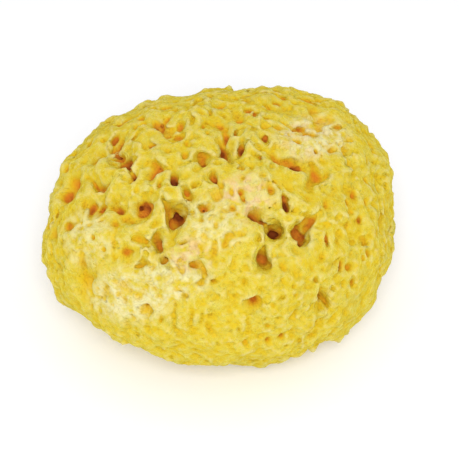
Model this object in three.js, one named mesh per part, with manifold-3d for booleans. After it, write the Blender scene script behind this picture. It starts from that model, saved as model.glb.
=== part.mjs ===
// A natural sea sponge, as sold for the bath: a low, lopsided dome of springy skeleton, cut off flat where it grew on rock.
// Millimetres, +Z up. The origin is the middle of the cut base, +X runs along the longest side and -Y faces the viewer.
// It grew as one piece, so it is one closed solid: a swollen body less the base cut and the canals that open on its skin.
import * as THREE from "three";
import { mergeVertices } from "three/addons/utils/BufferGeometryUtils.js";
import Module from "manifold-3d";

const wasm = await Module();
wasm.setup();

// Driving sizes of the body.
const LENGTH = 140; // along X
const DEPTH = 118; // along Y
const CROWN = 90; // height of the crown over the base cut
const HEART = 40; // height of the widest level over the base cut
const BODY_STEPS = 11; // steps along each edge of the icosahedron that the body's skin is drawn from

// The skin's swells, by direction in the plane that faces the viewer: angle from the right, anticlockwise, in degrees;
// how far the skin stands out, or in, in millimetres; and how many degrees it takes to fade.
const SWELLS = [
  { at: 12, out: 1.6, fades: 9 },
  { at: 38, out: 9.3, fades: 26 },
  { at: 84, out: -2.0, fades: 13 },
  { at: 118, out: -2.4, fades: 18 },
  { at: 150, out: -3.0, fades: 15 },
  { at: 176, out: -5.0, fades: 15 },
  { at: 202, out: 2.2, fades: 13 },
  { at: 230, out: -6.0, fades: 16 },
  { at: 252, out: -5.8, fades: 12 },
  { at: 282, out: 1.6, fades: 10 },
  { at: 316, out: 5.4, fades: 19 },
  { at: 346, out: 3.8, fades: 13 },
];
const WAVES = 9; // plane waves that make the skin uneven between the swells
const WAVE_LENGTH = [15, 30];
const WAVE_HEIGHT = 0.32;

// The viewer looks down on the sponge from the front. Places that are seen are measured in the plane through the heart
// that faces the viewer: across to the right, and up.
const VIEW_TILT = 50; // degrees above the level
const VIEW_DISTANCE = 450; // from the eye to the heart
const LEAST_FACING = 0.42; // a mouth seen at a slant is drawn out at most by one over this

// The canal mouths that face the viewer, each as [across, up, wide, tall, turn, deep]: the middle of the mouth, from the
// middle of the sponge as seen, its size as seen, its turn anticlockwise in degrees, and how deep the canal goes.
const SEEN_MIDDLE = [3.4, -1.2]; // from the heart, across and up
const MOUTHS = [
  // Oscules: the deep, dark outlets of the crown.
  [-23.5, -6, 3.6, 8.6, 3, 17],
  [-17.5, 4.5, 4.8, 13, -4, 16],
  [2.5, 30, 3.8, 8.6, 18, 15],
  [-7, 28, 5.6, 7.8, 8, 12],
  [15, 5.5, 6.8, 7, 0, 9],
  [22.5, -1, 6.8, 10.4, 4, 15],
  [34, -1, 5.6, 9.4, -44, 13],
  [18, -11.5, 6.6, 9.6, 10, 14],
  [27.5, 10, 2.8, 7.2, 0, 11],
  [42.5, -30, 3.6, 8, 24, 12],
  [-21, -14, 3, 4, 10, 10],
  [-8.5, -15, 6.4, 4.6, -12, 11],
  // Middling canals of the left shoulder and the crown.
  [-49, 8.5, 3.4, 10.4, 2, 9],
  [-41.5, 9, 5.8, 5.6, -35, 8],
  [-31.5, 9, 4.8, 9, 12, 7],
  [-49, 18, 7, 6, -20, 8],
  [-49, 29.5, 7.2, 5.8, -10, 7],
  [-39.5, 28, 7, 5.2, -8, 8],
  [-40.5, 35, 3.6, 6, -8, 7],
  [-60, 17.5, 4.6, 11, 0, 5],
  [-35.5, 21, 5, 4.4, 0, 6],
  [-27, 24, 5.2, 6.2, -12, 5],
  [-17, 21.5, 4, 5, 0, 8],
  [-2.5, 20, 5, 5, -20, 8],
  [-12, 13.5, 2.8, 4.6, 6, 9],
  [-8, 7.5, 3.6, 5, 0, 8],
  [3, 37.5, 3.8, 3.8, 0, 5],
  [-3, 42.5, 8.6, 4.6, 0, 4],
  [8.5, 30.5, 3.8, 6.6, -22, 7],
  [18, 38, 5.8, 5, 12, 5],
  [21, 31.5, 8.6, 7, 10, 4],
  [23, 48.5, 12, 4.6, 0, 4],
  [33, 40, 9.6, 4.8, -6, 5],
  [28.5, 26, 7, 4.4, -28, 6],
  [38, 21.5, 9, 5.4, -30, 6],
  [50.5, 31.5, 4.2, 5.2, 0, 6],
  [63.5, 20, 3.6, 4.6, 0, 4],
  [64.5, 3.5, 3.2, 8, 0, 4],
  [10.5, 13.5, 4.2, 5, -20, 6],
  [8, -12.5, 2.8, 7.4, 0, 8],
  [2.5, 3.5, 4, 2.8, 0, 6],
  [-30.5, -3.5, 3.8, 3.6, 0, 7],
  [-32, -14.5, 5.6, 2.8, 12, 7],
  [-36, -10, 4, 4, 0, 5],
  [-37, 4.5, 4.4, 4, 0, 3.5],
  [-54.5, -18, 3.4, 14, 2, 3.5],
  [-26, 43, 5.6, 4.6, 0, 4],
  [-16, 38.5, 4.4, 4.4, 0, 4],
  [-25.5, 33.5, 3.6, 3.2, 0, 4],
  [-11.5, 34, 4.2, 3.6, 0, 5],
  [1.5, 51.5, 6, 3.4, 0, 3],
  [50, -14, 7, 6, 0, 3],
  [30.5, -35, 3.2, 3.2, 0, 6],
  [13.5, -28.5, 3.4, 4.4, -20, 4],
  [-27.5, -30, 3, 3.6, 0, 4],
  [1.5, -31, 3.4, 5, 0, 4],
  [-33, -40.5, 5, 3, -28, 3],
];

// The canals of the sides that face away, thrown by a seeded die: they are as wide as those seen, and keep apart.
const SEED = 41;
const HIDDEN_MOUTHS = 44;
const HIDDEN_THROWS = 6000;
const HIDDEN_WIDE = [3.6, 7.6]; // widest towards the crown
const HIDDEN_SLIM = [0.62, 1]; // narrow way over wide way
const HIDDEN_DEEP = [0.9, 2.0]; // times the width
const HIDDEN_APART = 8; // clear skin between the middles, more than half of both widths
const HIDDEN_LOWEST = 7; // above the base cut
const SEEN_FACING = 0.12; // a point whose skin faces the eye by more than this is seen

// The base cut goes through a few canals.
const BASE_MOUTHS = 7;
const BASE_RING = [13, 27]; // nearest and furthest from the middle, which stays whole to rest on
const BASE_WIDE = [4.5, 8];
const BASE_DEEP = [6, 10];

// A canal's outline from its blind end to past the skin: [share of the half width, share of the depth].
const CANAL_PROFILE = [
  [0.0, -1.0],
  [0.6, -0.78],
  [0.94, -0.34],
  [1.3, 0.0],
];
const PIT_PROFILE = [
  [0.0, -1.0],
  [0.86, -0.6],
  [1.3, 0.0],
];
const PIT_DEEPEST = 6.5; // a canal no deeper than this is a pit
const FLARE = 1.7; // how much wider the canal's tool is where it leaves the skin
const PROUD = 3.2; // how far the tool stands over the skin
const WOBBLE = 0.13; // unevenness of a canal round its axis
const DROOP = 0.55; // sideways drift of a canal towards straight down, as a share of its depth
const WIDE_SIDES = 8; // sides of a canal at least as wide as WIDE_FROM
const SLIM_SIDES = 6;
const WIDE_FROM = 8;

const rad = THREE.MathUtils.degToRad;
const lerp = THREE.MathUtils.lerp;
const heart = new THREE.Vector3(0, 0, HEART);
const right = new THREE.Vector3(1, 0, 0);
const toEye = new THREE.Vector3(0, -Math.cos(rad(VIEW_TILT)), Math.sin(rad(VIEW_TILT)));
const viewUp = new THREE.Vector3().crossVectors(toEye, right);
const eye = toEye.clone().multiplyScalar(VIEW_DISTANCE).add(heart);

// A repeatable stream of numbers from 0 to 1.
function die(seed) {
  let state = seed;
  return () => {
    state = (state + 0x6d2b79f5) | 0;
    let t = Math.imul(state ^ (state >>> 15), 1 | state);
    t = (t + Math.imul(t ^ (t >>> 7), 61 | t)) ^ t;
    return ((t ^ (t >>> 14)) >>> 0) / 4294967296;
  };
}
const roll = die(SEED);
const between = ([low, high]) => lerp(low, high, roll());

// A direction spread evenly over all ways.
function anyWay() {
  const z = lerp(-1, 1, roll());
  const turn = 2 * Math.PI * roll();
  const flat = Math.sqrt(1 - z * z);
  return new THREE.Vector3(flat * Math.cos(turn), flat * Math.sin(turn), z);
}

const swells = SWELLS.map(({ at, out, fades }) => ({
  way: right.clone().multiplyScalar(Math.cos(rad(at))).addScaledVector(viewUp, Math.sin(rad(at))),
  out,
  fades: rad(fades),
}));
const waves = Array.from({ length: WAVES }, () => ({
  way: anyWay().multiplyScalar((2 * Math.PI) / between(WAVE_LENGTH)),
  starts: 2 * Math.PI * roll(),
}));

// How far the skin lies from the heart in a direction: an ellipsoid's reach, with swells and waves.
function reach(way) {
  const [a, b, c] = [LENGTH / 2, DEPTH / 2, CROWN - HEART];
  const round = 1 / Math.hypot(way.x / a, way.y / b, way.z / c);
  const swell = swells.reduce((sum, s) => sum + s.out * Math.exp(-((way.angleTo(s.way) / s.fades) ** 2)), 0);
  const point = way.clone().multiplyScalar(round);
  const wave = waves.reduce((sum, w) => sum + Math.sin(w.way.dot(point) + w.starts), 0);
  return round + swell + WAVE_HEIGHT * wave;
}

// The skin's outward normal in a direction from the heart, from two short steps along the skin.
function skinNormal(way) {
  const aside = new THREE.Vector3(way.y, way.z, way.x).cross(way).normalize();
  const ahead = new THREE.Vector3().crossVectors(way, aside);
  const step = 0.04;
  const at = (u, v) => {
    const w = way.clone().addScaledVector(aside, u).addScaledVector(ahead, v).normalize();
    return w.multiplyScalar(reach(w));
  };
  const du = at(step, 0).sub(at(-step, 0));
  const dv = at(0, step).sub(at(0, -step));
  const normal = du.cross(dv).normalize();
  return normal.dot(way) < 0 ? normal.negate() : normal;
}

// Where the eye's line through a place in the facing plane first meets the skin, as a direction from the heart.
function seenWay(across, up) {
  const aim = heart.clone().addScaledVector(right, across).addScaledVector(viewUp, up).sub(eye).normalize();
  const point = new THREE.Vector3();
  const step = 0.25;
  for (let far = VIEW_DISTANCE - LENGTH; far < VIEW_DISTANCE + LENGTH; far += step) {
    point.copy(eye).addScaledVector(aim, far).sub(heart);
    const way = point.clone().normalize();
    if (point.length() < reach(way)) return way;
  }
  throw new Error(`nothing is seen at ${across}, ${up}`);
}

// A three.js geometry as a solid that can be joined and cut.
function solid(geometry) {
  const bare = geometry.index ? geometry.toNonIndexed() : geometry.clone();
  bare.deleteAttribute("normal");
  bare.deleteAttribute("uv");
  const merged = mergeVertices(bare, 1e-4);
  const corners = merged.index.array;
  const kept = [];
  for (let i = 0; i < corners.length; i += 3) {
    const [a, b, c] = corners.subarray(i, i + 3);
    if (a !== b && b !== c && c !== a) kept.push(a, b, c);
  }
  const mesh = new wasm.Mesh({
    numProp: 3,
    vertProperties: merged.attributes.position.array,
    triVerts: new Uint32Array(kept),
  });
  return new wasm.Manifold(mesh);
}

// A solid as a flat-shaded three.js geometry.
function geometryOf(made) {
  const mesh = made.getMesh();
  const geometry = new THREE.BufferGeometry();
  geometry.setAttribute("position", new THREE.BufferAttribute(new Float32Array(mesh.vertProperties), 3));
  geometry.setIndex(new THREE.BufferAttribute(new Uint32Array(mesh.triVerts), 1));
  const flat = geometry.toNonIndexed();
  flat.computeVertexNormals();
  return flat;
}

// Moves each vertex of a geometry by a function that changes a vector in place.
function reshape(geometry, change) {
  const position = geometry.attributes.position;
  const point = new THREE.Vector3();
  for (let i = 0; i < position.count; i++) {
    point.fromBufferAttribute(position, i);
    change(point);
    position.setXYZ(i, point.x, point.y, point.z);
  }
  return geometry;
}

// The whole body before the canals: the skin about the heart, cut off flat at the base.
function body() {
  const skin = reshape(new THREE.IcosahedronGeometry(1, BODY_STEPS), (p) => {
    const way = p.clone().normalize();
    p.copy(way).multiplyScalar(reach(way)).add(heart);
  });
  const below = new THREE.BoxGeometry(2 * LENGTH, 2 * DEPTH, LENGTH).translate(0, 0, -LENGTH / 2);
  return solid(skin).subtract(solid(below));
}

// The space of one canal: a lathed finger with a wavy outline that stands on the skin at place and drifts downwards as
// it goes in. side and tall are the ways that its width and height run along the skin.
function canal({ place, out, side, wide, tall, turn, deep }) {
  const sides = Math.max(wide, tall) < WIDE_FROM ? SLIM_SIDES : WIDE_SIDES;
  const outline = (deep > PIT_DEEPEST ? CANAL_PROFILE : PIT_PROFILE).map(([x, y]) => new THREE.Vector2(x, y * deep));
  outline.push(new THREE.Vector2(FLARE, PROUD), new THREE.Vector2(0, PROUD));
  const starts = [2 * Math.PI * roll(), 2 * Math.PI * roll()];
  const along = new THREE.Vector3().crossVectors(out, side);
  const drift = new THREE.Vector3(0, 0, -1).addScaledVector(out, out.z).multiplyScalar(DROOP * deep);
  const frame = new THREE.Matrix4().makeBasis(side, along, out);
  const spin = rad(turn);
  return solid(
    reshape(new THREE.LatheGeometry(outline, sides), (p) => {
      const round = Math.atan2(p.z, p.x);
      const uneven = 1 + WOBBLE * (Math.sin(2 * round + starts[0]) + Math.sin(3 * round + starts[1]));
      const x = (p.x * uneven * wide) / 2;
      const y = (-p.z * uneven * tall) / 2;
      const inwards = Math.max(0, -p.y / deep);
      p.set(x * Math.cos(spin) - y * Math.sin(spin), x * Math.sin(spin) + y * Math.cos(spin), p.y);
      p.applyMatrix4(frame).add(place).addScaledVector(drift, inwards * inwards);
    }),
  );
}

// A canal given by what the viewer sees of its mouth, drawn out where the skin is seen at a slant.
function seenCanal([across, up, wide, tall, turn, deep]) {
  const way = seenWay(across + SEEN_MIDDLE[0], up + SEEN_MIDDLE[1]);
  const place = way.clone().multiplyScalar(reach(way)).add(heart);
  const out = skinNormal(way);
  const side = right.clone().addScaledVector(out, -out.x).normalize();
  const along = new THREE.Vector3().crossVectors(out, side);
  const sight = eye.clone().sub(place).normalize();
  const facing = (v) => Math.max(LEAST_FACING, Math.sqrt(1 - v.dot(sight) ** 2));
  const nearer = eye.distanceTo(place) / VIEW_DISTANCE;
  return canal({
    place,
    out,
    side,
    wide: (wide * nearer) / facing(side),
    tall: (tall * nearer) / facing(along),
    turn,
    deep,
  });
}

// The canals that the viewer can't see, thrown at random where they keep clear of each other.
function hiddenCanals() {
  const made = [];
  const taken = [];
  for (let n = 0; n < HIDDEN_THROWS && made.length < HIDDEN_MOUTHS; n++) {
    const way = anyWay();
    const place = way.clone().multiplyScalar(reach(way)).add(heart);
    const out = skinNormal(way);
    const sight = eye.clone().sub(place).normalize();
    if (place.z < HIDDEN_LOWEST || out.dot(sight) > SEEN_FACING) continue;
    const wide = lerp(...HIDDEN_WIDE, 0.5 * roll() + (0.5 * place.z) / CROWN);
    if (taken.some((t) => t.place.distanceTo(place) < HIDDEN_APART + (t.wide + wide) / 2)) continue;
    taken.push({ place, wide });
    const side = new THREE.Vector3(0, 0, 1).cross(out).normalize();
    const tall = wide * between(HIDDEN_SLIM);
    made.push(canal({ place, out, side, wide, tall, turn: 360 * roll(), deep: wide * between(HIDDEN_DEEP) }));
  }
  return made;
}

// The canals that the base cut goes through, in a ring about the middle.
function baseCanals() {
  return Array.from({ length: BASE_MOUTHS }, (_, n) => {
    const turn = (2 * Math.PI * (n + 0.6 * roll())) / BASE_MOUTHS;
    const from = between(BASE_RING);
    const wide = between(BASE_WIDE);
    return canal({
      place: new THREE.Vector3(from * Math.cos(turn), from * Math.sin(turn), 0),
      out: new THREE.Vector3(0, 0, -1),
      side: right,
      wide,
      tall: wide * between(HIDDEN_SLIM),
      turn: 360 * roll(),
      deep: between(BASE_DEEP),
    });
  });
}

// The sponge: the body less every canal, set with the middle of its box over the origin.
function sponge() {
  const canals = [...MOUTHS.map(seenCanal), ...hiddenCanals(), ...baseCanals()];
  const hollow = canals.reduce((all, one) => all.add(one));
  const geometry = geometryOf(body().subtract(hollow));
  geometry.computeBoundingBox();
  const middle = geometry.boundingBox.getCenter(new THREE.Vector3());
  const skin = new THREE.MeshStandardMaterial({ color: 0xe4c94e, roughness: 0.95, metalness: 0, flatShading: true });
  const mesh = new THREE.Mesh(geometry.translate(-middle.x, -middle.y, 0), skin);
  mesh.name = "sponge";
  return mesh;
}

const part = new THREE.Group();
part.add(sponge());
export default part;
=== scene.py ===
"""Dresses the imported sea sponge: its pitted, springy skeleton, in a plain pale studio.

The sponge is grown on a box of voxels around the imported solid. Each voxel holds a distance to the skin, below
zero inside. Walls, pits, pores and tufts are worked into those distances, and the skin is drawn where they
pass through zero. A sheet of two parameters can't have undercut pits and thin ridges, so the shape is a
formula on whole arrays of voxels instead. Metres throughout, in the part's own frame.
"""

from __future__ import annotations

import logging
import math
from collections.abc import Callable, Iterable, Sequence
from dataclasses import dataclass
from enum import Enum
from typing import Any

import bpy
import numpy as np
import openvdb
from mathutils import Matrix, Vector


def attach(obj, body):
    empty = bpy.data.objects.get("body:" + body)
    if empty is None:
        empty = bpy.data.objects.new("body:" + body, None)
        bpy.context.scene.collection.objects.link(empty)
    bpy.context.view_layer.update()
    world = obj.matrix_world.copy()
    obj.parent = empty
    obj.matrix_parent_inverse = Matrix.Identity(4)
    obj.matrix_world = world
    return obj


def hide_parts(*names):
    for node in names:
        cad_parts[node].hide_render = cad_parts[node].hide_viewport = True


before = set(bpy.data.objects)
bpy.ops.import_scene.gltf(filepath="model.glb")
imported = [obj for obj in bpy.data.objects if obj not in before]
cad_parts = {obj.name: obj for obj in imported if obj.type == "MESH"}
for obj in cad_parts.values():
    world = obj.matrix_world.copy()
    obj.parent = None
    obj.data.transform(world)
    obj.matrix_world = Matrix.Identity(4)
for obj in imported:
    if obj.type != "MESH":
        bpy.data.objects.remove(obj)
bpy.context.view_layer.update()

log = logging.getLogger("sponge")

MM = 0.001
BODY = "root"
NODE = "sponge"
FAR = 6 * MM  # the distance of a voxel from what isn't near it

Array = np.ndarray


def smooth_step(values: Array, low: float, high: float) -> Array:
    """Rises from 0 at low to 1 at high as 3t^2 - 2t^3, where t is the share of the way."""
    t = np.clip((values - low) / (high - low), 0.0, 1.0)
    return t * t * (3.0 - 2.0 * t)


def soft_max(a: Array, b: Array, round_over: float) -> Array:
    """The larger of two fields, rounded where they are within round_over of each other.

    Args:
        a: One field of distances.
        b: The other.
        round_over: The width of the fillet.

    Returns:
        max(a, b) + h^2 / (4 round_over), where h is how far the two are short of round_over apart.
    """
    h = np.maximum(round_over - np.abs(a - b), 0.0)
    return np.maximum(a, b) + h * h / (4.0 * round_over)


def unit(vectors: Array) -> Array:
    """Vectors scaled to a length of one."""
    return vectors / np.maximum(np.linalg.norm(vectors, axis=-1, keepdims=True), 1e-12)


def level_way(out: Array) -> Array:
    """A level way along the skin, or one near +X where the skin itself is level."""
    level = np.cross((0.0, 0.0, 1.0), out)
    flat = np.linalg.norm(level, axis=-1, keepdims=True) < 0.05
    return unit(np.where(flat, np.array((1.0, 0.0, 0.0)) - out * out[..., :1], level))


def corners_of(mesh: bpy.types.Mesh) -> Array:
    """The corners of a mesh's triangles, as triangles by three by three."""
    points = np.empty(len(mesh.vertices) * 3, np.float32)
    mesh.vertices.foreach_get("co", points)
    mesh.calc_loop_triangles()
    numbers = np.empty(len(mesh.loop_triangles) * 3, np.int32)
    mesh.loop_triangles.foreach_get("vertices", numbers)
    return points.reshape(-1, 3)[numbers.reshape(-1, 3)]


def thrown_on(corners: Array, count: int, rng: np.random.Generator) -> Array:
    """Random places on triangles, spread evenly by area.

    Args:
        corners: The triangles' corners.
        count: How many places are thrown.
        rng: The die.

    Returns:
        The places, one in each row.
    """
    a, b, c = corners.transpose(1, 0, 2).astype(float)
    area = np.linalg.norm(np.cross(b - a, c - a), axis=1)
    chosen = rng.choice(len(area), count, p=area / area.sum())
    u, v = rng.random((2, count, 1))
    u, v = np.where(u + v > 1, 1 - u, u), np.where(u + v > 1, 1 - v, v)
    return a[chosen] + u * (b - a)[chosen] + v * (c - a)[chosen]


def placed(name: str, data: Any) -> bpy.types.Object:
    """A new object in the scene, with its data."""
    made = bpy.data.objects.new(name, data)
    bpy.context.scene.collection.objects.link(made)
    return made


@dataclass(frozen=True)
class Sight:
    """The line of sight: an eye above and in front of the sponge's heart.

    Seen places are given in the plane through the heart that faces the eye, as across to the right and up.
    """

    heart: tuple[float, float, float] = (0.0, 0.0, 40 * MM)
    tilt: float = math.radians(50.0)
    distance: float = 450 * MM

    @property
    def right(self) -> Array:
        """The way across, which is +X."""
        return np.array((1.0, 0.0, 0.0))

    @property
    def to_eye(self) -> Array:
        """The way from the heart to the eye."""
        return np.array((0.0, -math.cos(self.tilt), math.sin(self.tilt)))

    @property
    def up(self) -> Array:
        """The way up the facing plane."""
        return np.cross(self.to_eye, self.right)

    @property
    def eye(self) -> Array:
        """The eye's place."""
        return np.array(self.heart) + self.distance * self.to_eye

    def seen(self, points: Array) -> tuple[Array, Array]:
        """Where points are seen in the facing plane.

        Args:
            points: Places, one in each row.

        Returns:
            How far across and how far up each one is seen.
        """
        offset = points - np.array(self.heart)
        nearer = self.distance / (self.distance - offset @ self.to_eye)
        return (offset @ self.right) * nearer, (offset @ self.up) * nearer

    def along(self, across: Array, up: Array, step: float = 0.25 * MM, reach: float = 100 * MM) -> Array:
        """Places along the lines of sight, from reach before the facing plane to reach behind it.

        Args:
            across: Where each line crosses the facing plane, to the right.
            up: The same, upwards.
            step: How far apart the places are.
            reach: How far they go to each side of the plane.

        Returns:
            The places, as lines by steps by three.
        """
        target = np.array(self.heart) + across[:, None] * self.right + up[:, None] * self.up
        far = self.distance + np.arange(-reach, reach, step)
        return self.eye + unit(target - self.eye)[:, None, :] * far[None, :, None]


class Block:
    """A box of voxels, with its corner on a whole voxel so that the base cut lies on a layer of them."""

    def __init__(self, low: Array, shape: Array, pitch: float) -> None:
        """Sets out the voxels.

        Args:
            low: The first voxel's number along each axis, counted from the origin.
            shape: How many voxels there are along each axis.
            pitch: The side of a voxel.
        """
        self.low = low
        self.shape = tuple(int(n) for n in shape)
        self.pitch = pitch
        numbers = [(low[k] + np.arange(self.shape[k])).astype(np.float32) for k in range(3)]
        self.axes = [axis * np.float32(pitch) for axis in numbers]

    def _shares(self, wave: float | Sequence[float]) -> list[Array]:
        """Cubic B-splines' weights: how much each knot of a lattice counts at each voxel of an axis."""
        shares = []
        for axis, step in zip(self.axes, np.broadcast_to(np.asarray(wave, float), 3)):
            at = (axis - axis[0]) / step + 1.0
            cell = np.floor(at).astype(int)
            t = at - cell
            share = np.zeros((len(axis), int(cell.max()) + 3), np.float32)
            parts = ((1 - t) ** 3, 3 * t**3 - 6 * t**2 + 4, -3 * t**3 + 3 * t**2 + 3 * t + 1, t**3)
            for offset, part in enumerate(parts):
                share[np.arange(len(axis)), cell + offset - 1] = part / 6.0
            shares.append(share)
        return shares

    def _joined(self, knots: Array, shares: list[Array]) -> Array:
        """The smooth field through a lattice of knots: their weighted sum along each axis in turn."""
        first, second, third = shares
        field = (first @ knots.reshape(len(knots), -1)).reshape(-1, *knots.shape[1:])
        return np.matmul(np.matmul(second, field), third.T)

    def noise(self, rng: np.random.Generator, wave: float | Sequence[float]) -> Array:
        """A smooth random field with a spread of one, from random knots a wave apart."""
        shares = self._shares(wave)
        field = self._joined(rng.standard_normal([s.shape[1] for s in shares]).astype(np.float32), shares)
        return field / field.std()

    def field_of(self, formula: Callable[[Array], Array], wave: float) -> Array:
        """A slowly changing formula of place, worked out at knots a wave apart and joined smoothly."""
        shares = self._shares(wave)
        knots = [axis[0] + (np.arange(s.shape[1]) - 1) * wave for axis, s in zip(self.axes, shares)]
        places = np.stack(np.meshgrid(*knots, indexing="ij"), axis=-1)
        values = formula(places.reshape(-1, 3)).reshape(places.shape[:3])
        return self._joined(values.astype(np.float32), shares)

    def blur(self, values: Array, radius: float, passes: int = 2) -> Array:
        """Each voxel's mean over a cube around it, taken several times so that the cube rounds off.

        Args:
            values: The field.
            radius: Half the cube's side.
            passes: How many times the mean is taken.

        Returns:
            The blurred field.
        """
        half = max(1, round(radius / self.pitch))
        width = 2 * half + 1
        for axis in [0, 1, 2] * passes:
            edges = [(half + 1, half) if n == axis else (0, 0) for n in range(3)]
            total = np.cumsum(np.pad(values, edges, mode="edge"), axis=axis)
            ahead = tuple(slice(width, None) if n == axis else slice(None) for n in range(3))
            behind = tuple(slice(None, -width) if n == axis else slice(None) for n in range(3))
            values = (total[ahead] - total[behind]) / np.float32(width)
        return values

    def sample(self, values: Array, points: Array) -> Array:
        """A field's values at points, each one weighed between the eight voxels around it.

        Args:
            values: The field.
            points: Places, one in each row.

        Returns:
            One number for each point.
        """
        at = points / self.pitch - self.low
        cell = np.clip(np.floor(at).astype(int), 0, np.array(self.shape) - 2)
        t = np.clip(at - cell, 0.0, 1.0)
        result = np.zeros(len(points))
        for corner in np.ndindex(2, 2, 2):
            share = np.prod([t[:, n] if bit else 1.0 - t[:, n] for n, bit in enumerate(corner)], axis=0)
            i, j, k = (cell + corner).T
            result += share * values[i, j, k]
        return result

    def slope(self, values: Array, points: Array) -> Array:
        """The unit way in which a field rises fastest at points, from differences over four voxels."""
        steps = np.eye(3) * 2 * self.pitch
        rises = [self.sample(values, points + s) - self.sample(values, points - s) for s in steps]
        return unit(np.stack(rises, axis=1))

    def window(self, place: Array, reach: float) -> tuple[tuple[slice, ...], Array]:
        """The voxels within reach of a place.

        Args:
            place: The middle.
            reach: How far the window goes along each axis.

        Returns:
            The window's slices, and the offset of its voxels from the place.
        """
        first = np.maximum(np.ceil((place - reach) / self.pitch).astype(int) - self.low, 0)
        last = np.minimum(np.floor((place + reach) / self.pitch).astype(int) - self.low + 1, self.shape)
        part = tuple(slice(a, max(a, b)) for a, b in zip(first, last))
        offsets = [axis[s] - np.float32(p) for axis, s, p in zip(self.axes, part, place)]
        return part, np.stack(np.meshgrid(*offsets, indexing="ij"), axis=-1)

    def warped(self, values: Array, push: Sequence[Array], band: float) -> Array:
        """A field bent out of shape near its zero: each voxel takes the value that lies a push away from it.

        Args:
            values: The field.
            push: The push along each axis, as three fields.
            band: How far from its zero the field is bent.

        Returns:
            The bent field.
        """
        near = np.flatnonzero(np.abs(values) < band)
        index = np.stack(np.unravel_index(near, self.shape), axis=1)
        points = (index + self.low) * self.pitch + np.stack([p.ravel()[near] for p in push], axis=1)
        result = values.copy()
        result.ravel()[near] = self.sample(values, points)
        return result

    def crossings(self, values: Array, lines: Array) -> Array:
        """Where lines of places first enter a field's inside, or come nearest to it.

        Args:
            values: The field of distances.
            lines: Places along lines, as lines by steps by three.

        Returns:
            One place for each line.
        """
        gaps = self.sample(values, lines.reshape(-1, 3)).reshape(lines.shape[:2])
        inside = gaps < 0
        first = np.where(inside.any(axis=1), inside.argmax(axis=1), gaps.argmin(axis=1))
        return lines[np.arange(len(lines)), first]


@dataclass
class Canal:
    """One canal, pit or pore: a funnel of space that opens on the skin and drifts downwards as it goes in."""

    place: Array
    out: Array
    side: Array
    wide: float
    tall: float
    deep: float
    flare: float = 0.7
    droop: float = 0.5
    outward: float = 0.6
    margin: float = 1.5 * MM

    def hollow(self, block: Block) -> tuple[tuple[slice, ...], Array]:
        """The distance to the canal's wall, below zero in the canal.

        At a share w of the depth, the section is an ellipse whose half sizes are the mouth's times f. f is a
        quarter circle's fall from 1 at the mouth to 0 at the blind end, plus a flare that fades over the
        first half. Outside the skin the flare goes on up to a share outward.

        Args:
            block: The voxels.

        Returns:
            The window of voxels that the canal touches, and the distances there.
        """
        part, offset = block.window(self.place, self.deep + max(self.wide, self.tall) + self.margin)
        along = np.cross(self.out, self.side)
        depth = -(offset @ self.out.astype(np.float32))
        share = np.clip(depth / self.deep, -self.outward, 1.0)
        inside = np.maximum(share, 0.0) ** 2
        drift = np.array((0.0, 0.0, -1.0)) + self.out * self.out[2]
        inward = inside * (self.droop * self.deep)
        s = offset @ self.side.astype(np.float32) - inward * np.float32(drift @ self.side)
        t = offset @ along.astype(np.float32) - inward * np.float32(drift @ along)
        section = np.sqrt(np.maximum(1.0 - inside, 0.0))
        section += self.flare * np.maximum(1.0 - 2.0 * share, 0.0) ** 2 / 2.0
        ring = np.sqrt((s / (self.wide / 2)) ** 2 + (t / (self.tall / 2)) ** 2)
        wall = (ring - section) * (min(self.wide, self.tall) / 2)
        return part, np.maximum(wall, (depth - self.deep)).astype(np.float32)


@dataclass
class Tuft:
    """A pointed tuft of skeleton that stands on the skin."""

    place: Array
    out: Array
    wide: float
    tall: float
    taper: float = 0.8

    def mound(self, block: Block) -> tuple[tuple[slice, ...], Array]:
        """The distance to the tuft's side, below zero in it: a cone that loses a share taper of its width."""
        part, offset = block.window(self.place, self.tall + self.wide)
        height = offset @ self.out.astype(np.float32)
        ring = np.sqrt(np.maximum((offset**2).sum(-1) - height**2, 0.0))
        half = (self.wide / 2) * (1.0 - self.taper * height / self.tall)
        return part, np.maximum(ring - half, height - self.tall).astype(np.float32)


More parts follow.
